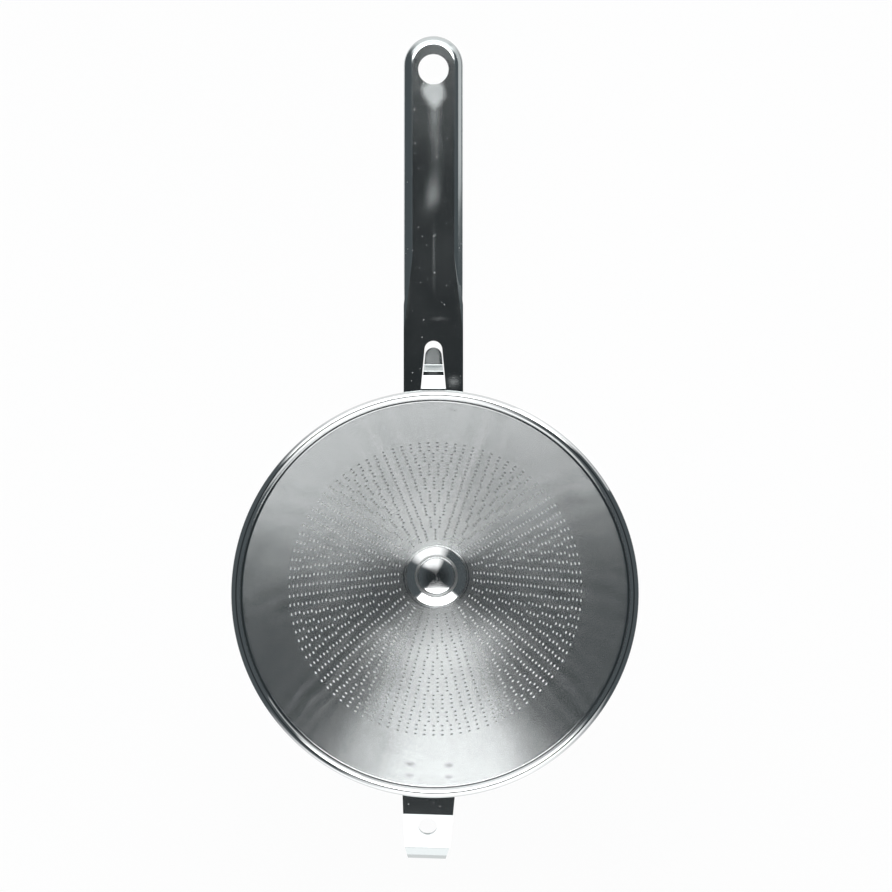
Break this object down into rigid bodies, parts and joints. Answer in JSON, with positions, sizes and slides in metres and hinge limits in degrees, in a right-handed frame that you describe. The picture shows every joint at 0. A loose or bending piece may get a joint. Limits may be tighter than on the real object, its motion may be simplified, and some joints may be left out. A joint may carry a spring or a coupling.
{
  "type": "conical strainer",
  "caption": "Steel conical strainer (chinois) with a curled rim, pierced wall, closed nose, flat hanging handle and pot-rest hook.",
  "frame": {"origin": "on the cone's axis, in the plane of the pot rim that the undersides of the handle root and the rest hook lie on", "axes": "+Z along the cone's axis out of the mouth, +Y along the handle away from the bowl"},
  "size_m": [0.2, 0.407, 0.1657],
  "materials": {
    "polished_steel": "polished",
    "strip_steel": "satin",
    "weld_steel": "satin"
  },
  "bodies": {
    "root": {"bowl": "polished_steel", "handle": "strip_steel", "rest_hook": "strip_steel", "handle_welds": "weld_steel", "hook_welds": "weld_steel"}
  },
  "joints": []
}
